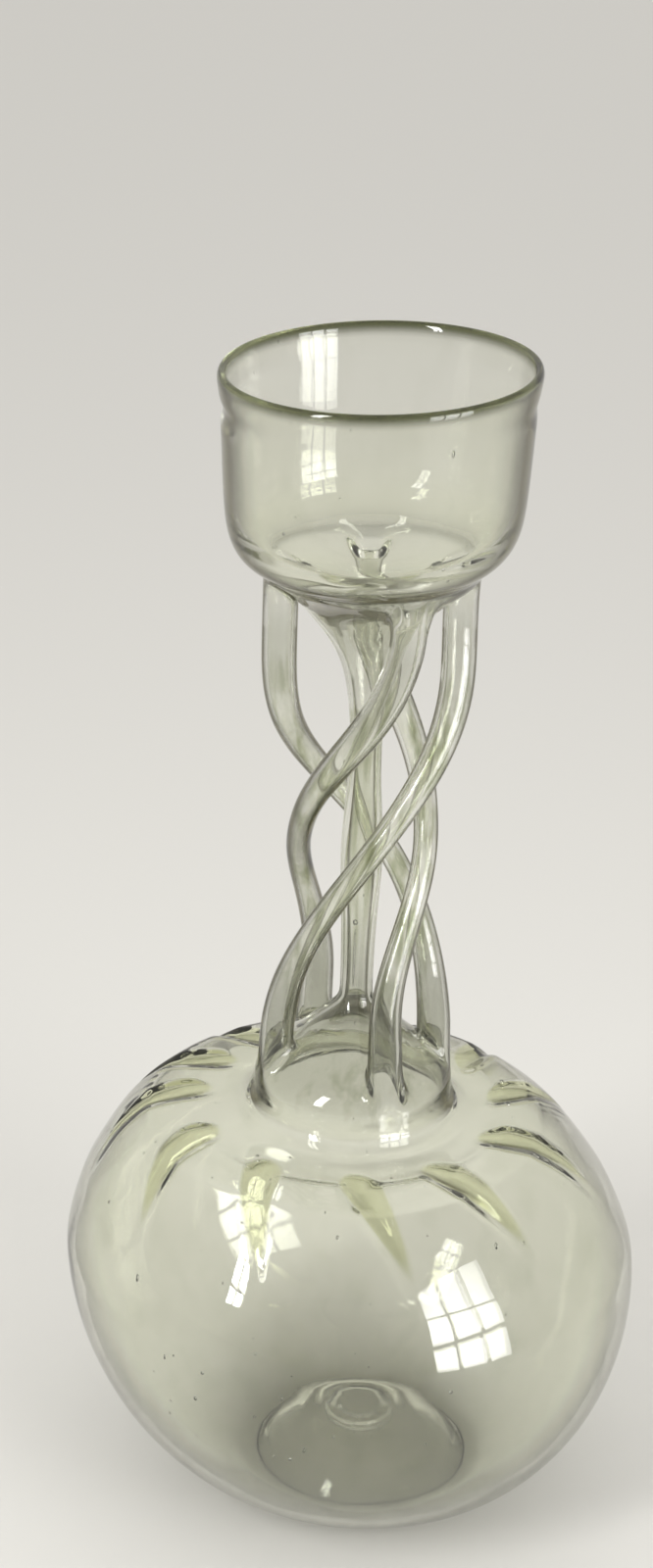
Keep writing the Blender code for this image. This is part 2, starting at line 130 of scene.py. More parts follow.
def glass(name, tint, edge_start, edge_end, ripple_scale, ripple_depth, stretch, cord_share):
    """The bottle's glass, with its own strength of tint, painted dark edge, waves and cords."""
    material = bpy.data.materials.new(name)
    material.use_nodes = True
    nodes = material.node_tree.nodes
    links = material.node_tree.links
    shader = nodes["Principled BSDF"]
    shader.inputs["Metallic"].default_value = 0.0
    shader.inputs["IOR"].default_value = GLASS_IOR
    shader.inputs["Transmission Weight"].default_value = 1.0
    light_path = nodes.new("ShaderNodeLightPath")
    geometry = nodes.new("ShaderNodeNewGeometry")
    inside = nodes.new("ShaderNodeMath")
    inside.operation = "MULTIPLY"
    links.new(light_path.outputs["Ray Length"], inside.inputs[0])
    links.new(geometry.outputs["Backfacing"], inside.inputs[1])
    # painted shade: glass seen edge on is made darker, as it is all round a tube, standing in for dark
    # surroundings seen in the glass
    facing = nodes.new("ShaderNodeLayerWeight")
    facing.inputs["Blend"].default_value = 0.5
    edge = nodes.new("ShaderNodeMapRange")
    edge.interpolation_type = "SMOOTHSTEP"
    edge.inputs["From Min"].default_value = edge_start
    edge.inputs["From Max"].default_value = edge_end
    links.new(facing.outputs["Facing"], edge.inputs["Value"])
    # inner walls show their painted dark edges less, and the lips of the bores inside the cup not at all
    light_edge = nodes.new("ShaderNodeAttribute")
    light_edge.attribute_name = "light_edge"
    beyond = nodes.new("ShaderNodeMath")
    beyond.operation = "SUBTRACT"
    beyond.use_clamp = True
    links.new(edge.outputs["Result"], beyond.inputs[0])
    links.new(light_edge.outputs["Fac"], beyond.inputs[1])
    # the shader takes the root of its base colour at each face, so the exponent is doubled
    left = nodes.new("ShaderNodeCombineColor")
    for channel, kept in zip(("Red", "Green", "Blue"), GLASS_TINT):
        power = nodes.new("ShaderNodeMath")
        power.operation = "MULTIPLY"
        power.inputs[1].default_value = 2.0 * tint * math.log(kept) / TINT_LENGTH
        fade = nodes.new("ShaderNodeMath")
        fade.operation = "EXPONENT"
        links.new(inside.outputs[0], power.inputs[0])
        links.new(power.outputs[0], fade.inputs[0])
        links.new(fade.outputs[0], left.inputs[channel])
    edge_shade = nodes.new("ShaderNodeMix")
    edge_shade.data_type = "RGBA"
    edge_shade.blend_type = "MULTIPLY"
    edge_shade.inputs["B"].default_value = (*EDGE_SHADE_TINT, 1.0)
    links.new(beyond.outputs[0], edge_shade.inputs["Factor"])
    links.new(left.outputs["Color"], edge_shade.inputs["A"])
    # glass was gathered at the tubes' feet, in the cup's corner and in the rim, and is darker there,
    # partly for that thicker glass and partly as painted shade
    thick = nodes.new("ShaderNodeAttribute")
    thick.attribute_name = "thick"
    gathered = nodes.new("ShaderNodeMix")
    gathered.data_type = "RGBA"
    gathered.blend_type = "MULTIPLY"
    gathered.inputs["B"].default_value = (*GATHERED_SHADE_TINT, 1.0)
    links.new(thick.outputs["Fac"], gathered.inputs["Factor"])
    links.new(edge_shade.outputs["Result"], gathered.inputs["A"])
    ripple = nodes.new("ShaderNodeGroup")
    ripple.node_tree = hand_ripple
    ripple.inputs["Scale"].default_value = ripple_scale
    ripple.inputs["Stretch"].default_value = stretch
    # the cords fade out where one kind of glass passes into the next
    plain = nodes.new("ShaderNodeAttribute")
    plain.attribute_name = "plain"
    drawn = nodes.new("ShaderNodeMath")
    drawn.operation = "SUBTRACT"
    drawn.use_clamp = True
    links.new(ripple.outputs["Cords"], drawn.inputs[0])
    links.new(plain.outputs["Fac"], drawn.inputs[1])
    corded = nodes.new("ShaderNodeMath")
    corded.operation = "MULTIPLY"
    corded.inputs[1].default_value = cord_share
    links.new(drawn.outputs[0], corded.inputs[0])
    streaked = nodes.new("ShaderNodeMix")
    streaked.data_type = "RGBA"
    streaked.blend_type = "MULTIPLY"
    streaked.inputs["B"].default_value = (*CORD_TINT, 1.0)
    links.new(corded.outputs[0], streaked.inputs["Factor"])
    links.new(gathered.outputs["Result"], streaked.inputs["A"])
    links.new(streaked.outputs["Result"], shader.inputs["Base Color"])
    bump = nodes.new("ShaderNodeBump")
    bump.inputs["Strength"].default_value = 1.0
    bump.inputs["Distance"].default_value = ripple_depth
    links.new(ripple.outputs["Height"], bump.inputs["Height"])
    links.new(bump.outputs["Normal"], shader.inputs["Normal"])
    links.new(ripple.outputs["Roughness"], shader.inputs["Roughness"])
    return material


# The camera, the floor and the light
# The camera stands where the photograph was taken from, a little above the cup and looking down.
# Two lamps shaped like windows with bars light the glass, over a plain pale floor.

CAMERA_PLACE = (-0.0099, -0.769, 0.5306)
CAMERA_PITCH = math.radians(23.9)
CAMERA_ROLL = math.radians(2.0)
CAMERA_LENS = 81.0
CAMERA_SENSOR = 36.0
CAMERA_NEAR = 0.01

camera_data = bpy.data.cameras.new("camera")
camera_data.lens = CAMERA_LENS
camera_data.sensor_width = CAMERA_SENSOR
camera_data.clip_start = CAMERA_NEAR
camera = bpy.data.objects.new("camera", camera_data)
scene.collection.objects.link(camera)
camera.location = CAMERA_PLACE
look = Euler((math.pi / 2 - CAMERA_PITCH, 0.0, 0.0)).to_matrix()
camera.rotation_euler = (look @ Euler((0.0, 0.0, CAMERA_ROLL)).to_matrix()).to_euler()
scene.camera = camera
scene.view_settings.view_transform = "Standard"

# The backdrop has the lit floor's tone, so no edge shows between them from the front. Glass sees it too.
FLOOR_COLOR = (0.62, 0.61, 0.58)
FILL_COLOR = (1.0, 0.99, 0.97)
BACKDROP_COLOR = tuple(tone * light for tone, light in zip(FLOOR_COLOR, FILL_COLOR))
FLOOR_SIZE = 6.0
FLOOR_ROUGHNESS = 0.6

floor_shape = bmesh.new()
bmesh.ops.create_grid(floor_shape, x_segments=1, y_segments=1, size=FLOOR_SIZE / 2)
floor_mesh = bpy.data.meshes.new("floor")
floor_shape.to_mesh(floor_mesh)
floor_shape.free()
floor = bpy.data.objects.new("floor", floor_mesh)
scene.collection.objects.link(floor)
floor_material = bpy.data.materials.new("pale_floor")
floor_material.use_nodes = True
floor_shader = floor_material.node_tree.nodes["Principled BSDF"]
floor_shader.inputs["Base Color"].default_value = (*FLOOR_COLOR, 1.0)
floor_shader.inputs["Roughness"].default_value = FLOOR_ROUGHNESS
floor_mesh.materials.append(floor_material)

world = bpy.data.worlds.new("studio")
scene.world = world
world.use_nodes = True
world_nodes = world.node_tree.nodes
world_links = world.node_tree.links
seen = world_nodes["Background"]
seen.inputs["Color"].default_value = (*BACKDROP_COLOR, 1.0)
seen.inputs["Strength"].default_value = 1.0
fill = world_nodes.new("ShaderNodeBackground")
fill.inputs["Color"].default_value = (*FILL_COLOR, 1.0)
fill.inputs["Strength"].default_value = 1.0
rays = world_nodes.new("ShaderNodeLightPath")
sharp_rays = world_nodes.new("ShaderNodeMath")
sharp_rays.operation = "MAXIMUM"
world_links.new(rays.outputs["Is Glossy Ray"], sharp_rays.inputs[0])
world_links.new(rays.outputs["Is Transmission Ray"], sharp_rays.inputs[1])
direct_rays = world_nodes.new("ShaderNodeMath")
direct_rays.operation = "MAXIMUM"
world_links.new(rays.outputs["Is Camera Ray"], direct_rays.inputs[0])
world_links.new(sharp_rays.outputs[0], direct_rays.inputs[1])
choice = world_nodes.new("ShaderNodeMixShader")
world_links.new(direct_rays.outputs[0], choice.inputs["Fac"])
world_links.new(fill.outputs[0], choice.inputs[1])
world_links.new(seen.outputs[0], choice.inputs[2])
world_links.new(choice.outputs[0], world_nodes["World Output"].inputs["Surface"])

AIM = (0.0, 0.0, 0.15)
LAMP_SPREAD = math.radians(70)
BOUNCES = 32


def softbox(name, place, pane, gap, columns, rows, power):
    """A soft lamp like a window with bars, turned to the bottle: even panes with gaps between."""
    turn = (Vector(place) - Vector(AIM)).to_track_quat("Z", "Y")
    for column in range(columns):
        for row in range(rows):
            data = bpy.data.lights.new(name, "AREA")
            data.shape = "RECTANGLE"
            data.size, data.size_y = pane
            data.energy = power / (columns * rows)
            data.spread = LAMP_SPREAD
            lamp = bpy.data.objects.new(name, data)
            scene.collection.objects.link(lamp)
            across = (column - (columns - 1) / 2) * (pane[0] + gap)
            up = (row - (rows - 1) / 2) * (pane[1] + gap)
            lamp.location = Vector(place) + turn @ Vector((across, up, 0.0))
            lamp.rotation_euler = turn.to_euler()


softbox("left_window", place=(-0.70, -0.72, 0.70), pane=(0.062, 0.150), gap=0.018,
        columns=2, rows=4, power=1.3)
softbox("right_window", place=(0.70, -0.62, 0.29), pane=(0.160, 0.200), gap=0.026,
        columns=3, rows=3, power=1.8)
# light crosses up to eight walls of glass on its way through the neck, and is turned back in some
scene.cycles.max_bounces = BOUNCES
scene.cycles.glossy_bounces = BOUNCES
scene.cycles.transmission_bounces = BOUNCES
scene.cycles.transparent_max_bounces = BOUNCES

# The globe
# A bubble of glass, turned on the blowpipe and flattened, with twelve flutes pressed into its
# shoulder. Its foot is pushed in from below and keeps the scar of the rod that held it.

bulb_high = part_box("bulb")[1]
NECK_JOINT = bulb_high.z
BULB_RADIUS = 0.0712
BULB_WIDEST = 0.0635
SHOULDER_HEIGHT = NECK_JOINT - 0.0025
SHOULDER_RADIUS = 0.0500
BULB_WALL = 0.0024
ROOT_RADIUS = 0.0252
ROOT_WALL = 0.0024
ROOT_SLOPE = math.radians(37)
FOOT_RADIUS = 0.0300
FOOT_WIDTH = 0.0035
# the pushed-up base, and the scar in its middle
KICK_HEIGHT = 0.0120
PONTIL_RADIUS = 0.0075
PONTIL_DEPTH = 0.0007
# how far the foot and the neck stand to the side of the globe's middle
FOOT_SHIFT = 0.0050
NECK_SHIFT = -0.0009
BULB_COLUMNS = 80
SMOOTH_LEVELS = 2
WELD = 0.000001

# the rings in the pushed-up base
KICK_WAVE = 0.00025
KICK_WAVE_LENGTH = 0.0042
KICK_WAVE_FADE = 0.0040

FLUTE_DEGREES = (8, 36, 66, 95, 121, 146, 171, 204, 238, 272, 303, 336)
FLUTE_START = 0.0338
FLUTE_END = 0.0625
FLUTE_HALF_WIDTH = 0.0056
FLUTE_DEPTH = 0.0018
FLUTE_INNER_DEPTH = 0.0019
FLUTE_RELIEF = 0.0006
FLUTE_WIDEST_SHARE = 0.30
FLUTE_TAPER = 0.35
FLUTE_SWIRL = math.radians(14)
FLUTE_TINT = (0.74, 0.76, 0.48)
FLUTE_TINT_FROM = 0.03
FLUTE_TINT_FULL = 0.42

# the seeds' sizes as shares of the wall, and their lengths as shares of their size
SEED_SHARES = (0.06, 0.08, 0.10, 0.13, 0.20)
SEED_LENGTHS = (1.0, 1.0, 1.3, 2.5)
SEED_LONGEST = 0.0012

# a smoothed ring or line of points pulls each one this far towards each neighbour
NEIGHBOR_SHARE = 1 / 6
FITTING_ROUNDS = 12


def ease(share):
    """Go from 0 to 1 with level ends."""
    share = min(max(share, 0.0), 1.0)
    return share * share * (3.0 - 2.0 * share)


def blend(first, second, share):
    """Take a share of the way from the first value to the second."""
    return first + (second - first) * share


def smoothed_share(count):
    """The share of its cage's radius that a ring of so many points keeps when it is smoothed."""
    return 1.0 - 2 * NEIGHBOR_SHARE * (1.0 - math.cos(2 * math.pi / count))


def cage_outline(outline, columns):
    """Move an outline outwards so that the smoothed surface passes through its points."""
    cage = [Vector(point) for point in outline]
    for fitting in range(FITTING_ROUNDS):
        smooth = [cage[0]]
        for before, here, after in zip(cage, cage[1:], cage[2:]):
            smooth.append(here + (before + after - 2 * here) * NEIGHBOR_SHARE)
        smooth.append(cage[-1])
        cage = [here + Vector(wanted) - found for here, wanted, found in zip(cage, outline, smooth)]
    return [(point.x / smoothed_share(columns), point.y) for point in cage]


def inner_outline(outline, wall):
    """The outline of a wall's inner face, this far inside an outline that runs down the outside."""
    inner = []
    for index, here in enumerate(outline):
        before = Vector(outline[max(index - 1, 0)])
        after = Vector(outline[min(index + 1, len(outline) - 1)])
        along = (after - before).normalized()
        inner.append((max(here[0] + along.y * wall, 0.0), here[1] - along.x * wall))
    return inner


def spin_outline(bm, outline, columns):
    """Turn an outline of (radius, height) once round the Z axis."""
    points = [bm.verts.new((radius, 0.0, height)) for radius, height in outline]
    lines = [bm.edges.new(pair) for pair in zip(points, points[1:])]
    bmesh.ops.spin(bm, geom=points + lines, cent=(0, 0, 0), axis=(0, 0, 1), angle=2 * math.pi,
                   steps=columns, use_merge=True, use_duplicate=False)


def place_order(vertex):
    """A fixed order of places, which doesn't change with the mesh's own numbers."""
    return tuple(round(way, 6) for way in vertex.co)


def number_in_order(parts, key):
    """Number a mesh's vertices, edges or faces anew and put them in that order."""
    for number, part in enumerate(sorted(parts, key=key)):
        part.index = number
    parts.sort()


def fix_order(bm):
    """Put a mesh in the order of its places, as a spin numbers it in a new way each run."""
    number_in_order(bm.verts, place_order)
    number_in_order(bm.edges, lambda edge: sorted(end.index for end in edge.verts))
    number_in_order(bm.faces, lambda face: sorted(corner.index for corner in face.verts))


def smoothed_mesh(name, bm):
    """Smooth a cage into a fine mesh and hand it back as new mesh data."""
    fix_order(bm)
    cage = bpy.data.meshes.new(name + "_cage")
    bm.to_mesh(cage)
    bm.free()
    ends = [end for edge in cage.edges for end in sorted(edge.vertices)]
    cage.edges.foreach_set("vertices", ends)
    blank = bpy.data.objects.new(name + "_cage", cage)
    scene.collection.objects.link(blank)
    smooth = blank.modifiers.new("smooth", "SUBSURF")
    smooth.levels = SMOOTH_LEVELS
    smooth.render_levels = SMOOTH_LEVELS
    bpy.context.view_layer.update()
    ready = blank.evaluated_get(bpy.context.evaluated_depsgraph_get())
    mesh = bpy.data.meshes.new_from_object(ready)
    mesh.name = name
    bpy.data.objects.remove(blank, do_unlink=True)
    bpy.data.meshes.remove(cage)
    return mesh


def bulb_outline():
    """The globe's outer side from the neck's joint down to the middle of the kick."""
    shoulder_shares = ((0.024, 1.0375), (0.061, 1.012), (0.115, 0.995), (0.20, 0.995),
                       (0.28, 1.003), (0.36, 1.006), (0.49, 0.975),
                       (0.56, 0.93), (0.664, 0.825), (0.766, 0.675), (0.855, 0.5125), (0.915, 0.375),
                       (0.98, 0.16))
    side_shares = ((1.0, 1.0), (0.99, 0.866), (0.933, 0.677), (0.814, 0.48), (0.667, 0.328),
                   (0.50, 0.205), (0.31, 0.107), (0.13, 0.032), (0.04, 0.008))
    kick_shares = ((0.97, 0.02), (0.82, 0.34), (0.54, 0.82), (0.34, 0.97))
    outline = [(ROOT_RADIUS, NECK_JOINT)]
    for out, up in shoulder_shares:
        height = blend(BULB_WIDEST, SHOULDER_HEIGHT, up)
        outline.append((blend(ROOT_RADIUS, BULB_RADIUS, out), height))
    for out, up in side_shares:
        outline.append((blend(FOOT_RADIUS, BULB_RADIUS, out), BULB_WIDEST * up))
    inner_foot = FOOT_RADIUS - FOOT_WIDTH
    outline.append(((FOOT_RADIUS + inner_foot) / 2, 0.0))
    for out, up in kick_shares:
        outline.append((inner_foot * out, KICK_HEIGHT * up))
    outline.append((PONTIL_RADIUS, KICK_HEIGHT))
    outline.append((PONTIL_RADIUS - PONTIL_DEPTH, KICK_HEIGHT + PONTIL_DEPTH))
    outline.append((0.0, KICK_HEIGHT + PONTIL_DEPTH))
    return outline


def joint_normal(vertex):
    """The way that the glass faces where the globe flows into the neck, outside and inside."""
    angle = math.atan2(vertex.co.y, vertex.co.x - NECK_SHIFT)
    radius = math.hypot(vertex.co.y, vertex.co.x - NECK_SHIFT)
    side = math.copysign(1.0, radius - ROOT_RADIUS + ROOT_WALL / 2)
    level = math.cos(ROOT_SLOPE)
    return Vector((level * math.cos(angle), level * math.sin(angle), math.sin(ROOT_SLOPE))) * side


def whole_normals(mesh):
    """The normals of a whole skin, which are the same on both sides of the joint with the globe."""
    normals = []
    for vertex in mesh.vertices:
        at_joint = abs(vertex.co.z - NECK_JOINT) < WELD * 5
        normals.append(joint_normal(vertex) if at_joint else vertex.normal.copy())
    return normals


def flute_place(radius, angle, degrees):
    """Where a place on the shoulder lies in one flute: its share of the length, and how far aside."""
    share = (radius - FLUTE_START) / (FLUTE_END - FLUTE_START)
    past_widest = max(share - FLUTE_WIDEST_SHARE, 0.0) / (1.0 - FLUTE_WIDEST_SHARE)
    half_width = FLUTE_HALF_WIDTH * (1.0 - FLUTE_TAPER * past_widest)
    turn = angle - math.radians(degrees) - FLUTE_SWIRL * share
    return share, ((turn + math.pi) % (2 * math.pi) - math.pi) * radius / half_width


def nearest_flute(radius, angle):
    """The degrees of the flute that is nearest to a place on the shoulder."""
    return min(FLUTE_DEGREES, key=lambda degrees: abs(flute_place(radius, angle, degrees)[1]))


def flute_press(radius, angle):
    """How far the flutes are pressed at a place on the shoulder, from 0 to 1 in their middle."""
    share, aside = flute_place(radius, angle, nearest_flute(radius, angle))
    past_widest = (share - FLUTE_WIDEST_SHARE) / (1.0 - FLUTE_WIDEST_SHARE)
    along = max(1.0 - share / FLUTE_WIDEST_SHARE, past_widest)
    return max(1.0 - along ** 2 - aside ** 2, 0.0) ** 2


def bulb_shift(radius, height):
    """How far each level of the globe stands to the side, as the hand-blown one does."""
    slide = FOOT_SHIFT * (1.0 - height / BULB_WIDEST)
    if height < BULB_WIDEST:
        return slide
    return blend(NECK_SHIFT, slide, ease((radius - ROOT_RADIUS) / (SHOULDER_RADIUS - ROOT_RADIUS)))


def boundary_rings(bm):
    """The open edges of a mesh, gathered into rings."""
    waiting = dict.fromkeys(edge for edge in bm.edges if edge.is_boundary)
    rings = []
    while waiting:
        ring = [waiting.popitem()[0]]
        for edge in ring:
            for end in edge.verts:
                for other in end.link_edges:
                    if other in waiting:
                        del waiting[other]
                        ring.append(other)
        rings.append(ring)
    return rings


def ring_middle(ring):
    """The middle of a ring of edges."""
    ends = [end.co for edge in ring for end in edge.verts]
    return sum(ends, Vector()) / len(ends)


def close_joints(bm):
    """Join the outer and the inner ring of each open joint with flat faces and hand them back."""
    rings = boundary_rings(bm)
    lids = []
    while rings:
        ring = rings.pop()
        middle = ring_middle(ring)
        partner = min(rings, key=lambda other: (ring_middle(other) - middle).length)
        rings.remove(partner)
        made = bmesh.ops.triangle_fill(bm, edges=ring + partner, use_beauty=True)["geom"]
        lids += [item for item in made if isinstance(item, bmesh.types.BMFace)]
    bmesh.ops.recalc_face_normals(bm, faces=bm.faces[:])
    return lids


def hide_joints(bm):
    """Close each joint with flat faces of the second slot, which aren't there to be seen."""
    for face in close_joints(bm):
        face.material_index = 1
        face.smooth = False


def face_outwards(bm):
    """Point a skin's faces out of the glass, on its outer and its inner side alike."""
    bmesh.ops.delete(bm, geom=close_joints(bm), context="FACES")


def parting_material():
    """The hidden face at which two parts of the one glass meet: it isn't there to be seen."""
    material = bpy.data.materials.new("fused_joint")
    material.use_nodes = True
    material.node_tree.nodes["Principled BSDF"].inputs["Alpha"].default_value = 0.0
    return material


fused_joint = parting_material()


def add_seeds(name, mesh, normals, count, wall, strings):
    """Trap small bubbles in the middle of the glass, and the given strings: place, size, length."""
    chance = random.Random(name)
    bm = bmesh.new()
    bm.from_mesh(mesh)
    bm.verts.ensure_lookup_table()
    hidden = {vertex.index for face in bm.faces if face.material_index == 1 for vertex in face.verts}
    lids = [bm.verts[index].co.copy() for index in sorted(hidden)]
    clear = SEED_LONGEST + wall / 2
    places = sorted(bm.verts, key=place_order)
    hosts = []
    while len(hosts) < count:
        host = chance.choice(places)
        if all((host.co - lid).length > clear for lid in lids):
            hosts.append(host)
    bubbles = bmesh.new()
    for host in hosts:
        size = wall * chance.choice(SEED_SHARES)
        long = min(size * chance.choice(SEED_LENGTHS), SEED_LONGEST)
        middle = host.co - normals[host.index] * wall / 2
        made = bmesh.ops.create_icosphere(bubbles, subdivisions=1, radius=size)["verts"]
        bmesh.ops.scale(bubbles, vec=(1.0, 1.0, long / size), verts=made)
        bmesh.ops.translate(bubbles, vec=middle, verts=made)
    for middle, size, long in strings:
        made = bmesh.ops.create_icosphere(bubbles, subdivisions=2, radius=size)["verts"]
        bmesh.ops.scale(bubbles, vec=(1.0, 1.0, long / size), verts=made)
        bmesh.ops.translate(bubbles, vec=middle, verts=made)
    bmesh.ops.reverse_faces(bubbles, faces=bubbles.faces[:])
    for face in bubbles.faces:
        face.smooth = True
    bubbles.normal_update()
    normals += [vertex.normal.copy() for vertex in bubbles.verts]
    trapped = bpy.data.meshes.new("seeds")
    bubbles.to_mesh(trapped)
    bubbles.free()
    bm.from_mesh(trapped)
    bpy.data.meshes.remove(trapped)
    bm.to_mesh(mesh)
    bm.free()


def finish_part(name, mesh, skin_normals, material, seeds, wall, strings=()):
    """Make a glass part of a mesh: its normals come from the whole skin, so no joint shows."""
    add_seeds(name, mesh, skin_normals, seeds, wall, strings)
    mesh.materials.append(material)
    mesh.materials.append(fused_joint)
    normals = []
    for polygon in mesh.polygons:
        for vertex in polygon.vertices:
            normals.append(skin_normals[vertex] if polygon.material_index == 0 else polygon.normal)
    mesh.normals_split_custom_set(normals)
    piece = bpy.data.objects.new(name + "_glass", mesh)
    scene.collection.objects.link(piece)
    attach(piece, "root")
    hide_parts(name)


outer = bulb_outline()
bulb_cage = bmesh.new()
spin_outline(bulb_cage, cage_outline(outer, BULB_COLUMNS), BULB_COLUMNS)
inner = [(ROOT_RADIUS - ROOT_WALL, NECK_JOINT)] + inner_outline(outer, BULB_WALL)[1:]
spin_outline(bulb_cage, cage_outline(inner, BULB_COLUMNS), BULB_COLUMNS)
bmesh.ops.remove_doubles(bulb_cage, verts=bulb_cage.verts[:], dist=WELD)
face_outwards(bulb_cage)
bulb_mesh = smoothed_mesh("bulb", bulb_cage)
facings = [vertex.normal.copy() for vertex in bulb_mesh.vertices]
turned_places = []
for vertex, facing in zip(bulb_mesh.vertices, facings):
    x, y, height = vertex.co
    radius = math.hypot(x, y)
    angle = math.atan2(y, x)
    on_shoulder = height > BULB_WIDEST and FLUTE_START < radius < FLUTE_END
    turned_places.append((radius, angle, on_shoulder and facing.z > 0.0))
    press = flute_press(radius, angle) if on_shoulder else 0.0
    if height < BULB_WIDEST / 3 and facing.z < 0.0 and radius < FOOT_RADIUS - FOOT_WIDTH:
        wave = math.sin(2 * math.pi * radius / KICK_WAVE_LENGTH)
        height += KICK_WAVE * wave * ease(height / KICK_WAVE_FADE)
    elif facing.z > 0.0:
        x, y, height = vertex.co - facing * FLUTE_DEPTH * press
    else:
        x, y, height = vertex.co + facing * FLUTE_INNER_DEPTH * press
    vertex.co = (x + bulb_shift(radius, height), y, max(height, 0.0))
# a map lays each flute along the shoulder, so that its relief and its colour have smooth edges
flute_map = bulb_mesh.uv_layers.new(name="flute")
spots = []
for polygon in bulb_mesh.polygons:
    places = [turned_places[vertex] for vertex in polygon.vertices]
    if not any(outside for radius, angle, outside in places):
        spots += [-1.0, 0.0] * len(places)
        continue
    degrees = nearest_flute(*places[0][:2])
    for radius, angle, outside in places:
        share, aside = flute_place(radius, angle, degrees)
        spots += [share, aside]
flute_map.uv.foreach_set("vector", spots)
bulb_shape = bmesh.new()
bulb_shape.from_mesh(bulb_mesh)
hide_joints(bulb_shape)
bulb_shape.to_mesh(bulb_mesh)
bulb_shape.free()
bulb_mesh.polygons.foreach_set("use_smooth", [p.material_index == 0 for p in bulb_mesh.polygons])


def press_flutes(material):
    """Press the flutes' fine relief into the globe's glass and give them their yellower olive."""
    nodes = material.node_tree.nodes
    links = material.node_tree.links
    shader = nodes["Principled BSDF"]

    def step(operation, *values):
        """One step of sums, fed by sockets and numbers."""
        node = nodes.new("ShaderNodeMath")
        node.operation = operation
        for socket, value in zip(node.inputs, values):
            if isinstance(value, float):
                socket.default_value = value
            else:
                links.new(value, socket)
        return node.outputs[0]

    place = nodes.new("ShaderNodeUVMap")
    place.uv_map = "flute"
    apart = nodes.new("ShaderNodeSeparateXYZ")
    links.new(place.outputs["UV"], apart.inputs["Vector"])
    share, aside = apart.outputs["X"], apart.outputs["Y"]
    start = step("MULTIPLY_ADD", share, -1.0 / FLUTE_WIDEST_SHARE, 1.0)
    past = 1.0 - FLUTE_WIDEST_SHARE
    tip = step("MULTIPLY_ADD", share, 1.0 / past, -FLUTE_WIDEST_SHARE / past)
    along = step("MAXIMUM", start, tip)
    apart_squared = step("ADD", step("POWER", along, 2.0), step("MULTIPLY", aside, aside))
    inside = step("MAXIMUM", step("SUBTRACT", 1.0, apart_squared), 0.0)
    press = step("MULTIPLY", inside, inside)
    relief = nodes.new("ShaderNodeBump")
    relief.inputs["Strength"].default_value = 1.0
    relief.inputs["Distance"].default_value = FLUTE_RELIEF
    relief.invert = True
    links.new(press, relief.inputs["Height"])
    links.new(shader.inputs["Normal"].links[0].from_socket, relief.inputs["Normal"])
    links.new(relief.outputs["Normal"], shader.inputs["Normal"])
    thick = nodes.new("ShaderNodeMapRange")
    thick.interpolation_type = "SMOOTHSTEP"
    thick.inputs["From Min"].default_value = FLUTE_TINT_FROM
    thick.inputs["From Max"].default_value = FLUTE_TINT_FULL
    tint = nodes.new("ShaderNodeMix")
    tint.data_type = "RGBA"
    tint.blend_type = "MULTIPLY"
    tint.inputs["B"].default_value = (*FLUTE_TINT, 1.0)
    links.new(inside, thick.inputs["Value"])
    links.new(thick.outputs["Result"], tint.inputs["Factor"])
    links.new(shader.inputs["Base Color"].links[0].from_socket, tint.inputs["A"])
    links.new(tint.outputs["Result"], shader.inputs["Base Color"])


globe_glass = glass("globe_glass", tint=1.25, edge_start=0.50, edge_end=1.0, ripple_scale=22.0,
                    ripple_depth=0.0012, stretch=0.60, cord_share=0.10)
press_flutes(globe_glass)
finish_part("bulb", bulb_mesh, whole_normals(bulb_mesh), globe_glass, seeds=150, wall=BULB_WALL)

# The neck's one skin: root, tubes and cup
# Five thin tubes are drawn between a domed root and the cup, and the outer four wind half a turn
# round the middle one. All of it is one skin of glass with an outer and an inner side, so it is
# made as one smooth cage and is parted at the joints afterwards.

TUBES = {
    "front_tube": dict(top=-66, bottom=-240, start_share=0.967, end_share=0.122),
    "right_tube": dict(top=8, bottom=-165, start_share=0.927, end_share=0.081),
    "back_tube": dict(top=92, bottom=-68, start_share=0.894, end_share=0.138),
    "left_tube": dict(top=180, bottom=10, start_share=0.809, end_share=0.154),
}
NECK_PARTS = ("neck_root", "center_tube", *TUBES, "cup")
ROOT_FEET = NECK_JOINT + 0.0120
NECK_LENGTH = 0.1230
CUP_FEET = ROOT_FEET + NECK_LENGTH
LOWER_RING = 0.0198
WAIST_RING = 0.0154
UPPER_RING = 0.0212
LOWER_RING_SHARE = 0.033
WAIST_LOW_SHARE = 0.382
WAIST_HIGH_SHARE = 0.488
UPPER_RING_SHARE = 0.846
TUBE_END_RADIUS = 0.0042
TUBE_WAIST_RADIUS = 0.0030
TUBE_END_WALL = 0.0013
TUBE_WAIST_WALL = 0.0012
TUBE_STEPS = 17
ROOT_TUBE_JOINT = 0.1300
CUP_TUBE_JOINT = 0.2310
CUP_TILT = math.radians(2.4)
COLUMN_SPREAD = (-1.6, -1.0, 0.0, 1.0, 1.6)
NECK_COLUMNS = len(TUBES) * (len(COLUMN_SPREAD) + 1)


def neck_share(height):
    """How far up the neck a height is, from the root's feet to the cup's."""
    return (height - ROOT_FEET) / NECK_LENGTH


def waist(height, low, middle, high):
    """A size that is drawn in at the neck's waist."""
    share = neck_share(height)
    if share < WAIST_LOW_SHARE:
        return blend(middle, low, ease((WAIST_LOW_SHARE - share) / (WAIST_LOW_SHARE - LOWER_RING_SHARE)))
    return blend(middle, high, ease((share - WAIST_HIGH_SHARE) / (UPPER_RING_SHARE - WAIST_HIGH_SHARE)))


def tube_radius(height):
    """The radius of an outer tube at a height."""
    return waist(height, TUBE_END_RADIUS, TUBE_WAIST_RADIUS, TUBE_END_RADIUS)


def tube_wall(height):
    """The wall of an outer tube at a height."""
    return waist(height, TUBE_END_WALL, TUBE_WAIST_WALL, TUBE_END_WALL)


